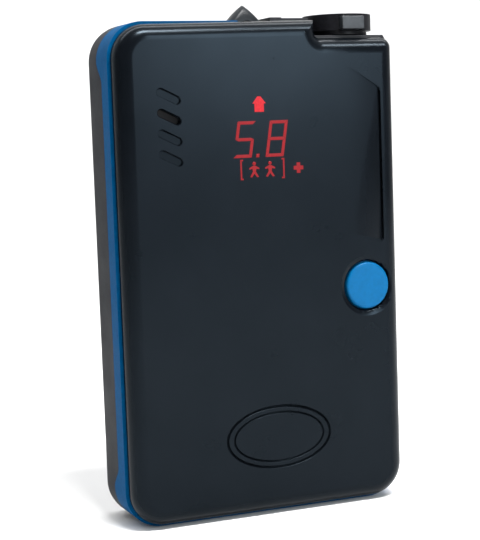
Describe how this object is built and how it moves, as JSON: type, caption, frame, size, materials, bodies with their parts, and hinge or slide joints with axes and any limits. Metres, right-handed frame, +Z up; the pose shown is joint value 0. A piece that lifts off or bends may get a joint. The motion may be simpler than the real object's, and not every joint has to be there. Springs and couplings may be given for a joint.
{
  "type": "avalanche transceiver",
  "caption": "Avalanche transceiver with a rotary switch and lock button, option button, lit display, coloured band, lanyard eye and a rear battery door.",
  "frame": {"origin": "middle of the case's footprint, on the surface that it stands on", "axes": "+X to the viewer's right across the case, +Y from the front face to the back, +Z up the case towards the lanyard eye"},
  "size_m": [0.07, 0.024, 0.118],
  "materials": {
    "gloss_black": "high gloss moulded, faint flow ripple",
    "satin_black": "fine spark-eroded satin",
    "deck_black": "satin moulded",
    "blue_band": "satin overmoulded elastomer",
    "eye_grey": "semi-gloss moulded",
    "seal_dark": "matt",
    "speaker_cloth": "fine black mesh",
    "pressed_steel": "bright pressed",
    "cone_paper": "matt black paper",
    "smoked_red": "smoked red filter",
    "lit_red": "lit bars",
    "display_white": "matt white reflector",
    "board_green": "solder resist",
    "chip_black": "moulded epoxy",
    "button_blue": "fine satin",
    "knob_black": "satin moulded",
    "index_white": "satin inlay",
    "lock_grey": "fine satin",
    "tray_black": "matt moulded",
    "cell_wrap": "printed foil sleeve, left plain",
    "plated_steel": "nickel plated",
    "pad_foam": "closed-cell foam",
    "stainless": "turned, lightly brushed",
    "brass_insert": "knurled",
    "ferrite": "ground ferrite",
    "copper_wire": "close-wound lacquered wire",
    "cradle_grey": "matt moulded",
    "magnet_nickel": "nickel plated"
  },
  "bodies": {
    "case": {"front_shell": "gloss_black", "case_gasket": "seal_dark", "mid_frame": "blue_band", "rear_shell": "satin_black", "top_deck": "deck_black", "lanyard_eye": "eye_grey", "speaker_mesh": "speaker_cloth", "speaker_frame": "pressed_steel", "speaker_cone": "cone_paper", "speaker_magnet": "magnet_nickel", "display_mask": "smoked_red", "display_lights": "lit_red", "display_module": "display_white", "main_board": "board_green", "board_chips": "chip_black", "switch_board": "board_green", "position_sensor": "chip_black", "button_seal": "seal_dark", "tact_switch": "pressed_steel", "wave_washer": "plated_steel", "battery_tray": "tray_black", "cell_left": "cell_wrap", "cell_middle": "cell_wrap", "cell_right": "cell_wrap", "contact_plates": "plated_steel", "contact_springs": "plated_steel", "door_insert": "brass_insert", "long_rod": "ferrite", "long_coil": "copper_wire", "cross_rod": "ferrite", "cross_coil": "copper_wire", "short_core": "ferrite", "short_coil": "copper_wire", "aerial_cradles": "cradle_grey", "case_screws": "stainless"},
    "knob": {"switch_knob": "knob_black", "knob_index": "index_white", "knob_seal": "seal_dark", "knob_magnet": "magnet_nickel", "retaining_clip": "pressed_steel", "lock_spring": "plated_steel"},
    "lock": {"lock_button": "lock_grey"},
    "option_button": {"button_cap": "button_blue", "button_plunger": "chip_black"},
    "battery_door": {"battery_door": "satin_black", "door_seal": "seal_dark", "door_pad": "pad_foam"},
    "door_screw": {"door_screw": "stainless", "door_screw_clip": "pressed_steel"}
  },
  "joints": [
    {"name": "knob_turn", "type": "hinge", "parent": "case", "child": "knob", "pos_m": [0.025, 0, 0.1137], "axis": [0, 0, 1], "range_deg": [0, 90]},
    {"name": "lock_press", "type": "slide", "parent": "knob", "child": "lock", "axis": [0, 1, 0], "range_m": [0, 0.0012], "stiffness_N_per_m": 500, "springref_m": -0.0008, "deforming": ["lock_spring"]},
    {"name": "option_button_press", "type": "slide", "parent": "case", "child": "option_button", "axis": [0, 1, 0], "range_m": [0, 0.0006], "stiffness_N_per_m": 1200, "springref_m": -0.0005, "deforming": ["button_seal"]},
    {"name": "battery_door_swing", "type": "hinge", "parent": "case", "child": "battery_door", "pos_m": [0, 0.012, 0.007], "axis": [-1, 0, 0], "range_deg": [0, 70]},
    {"name": "door_screw_turn", "type": "hinge", "parent": "battery_door", "child": "door_screw", "pos_m": [0, 0.012, 0.0664], "axis": [0, 1, 0], "continuous": true}
  ]
}
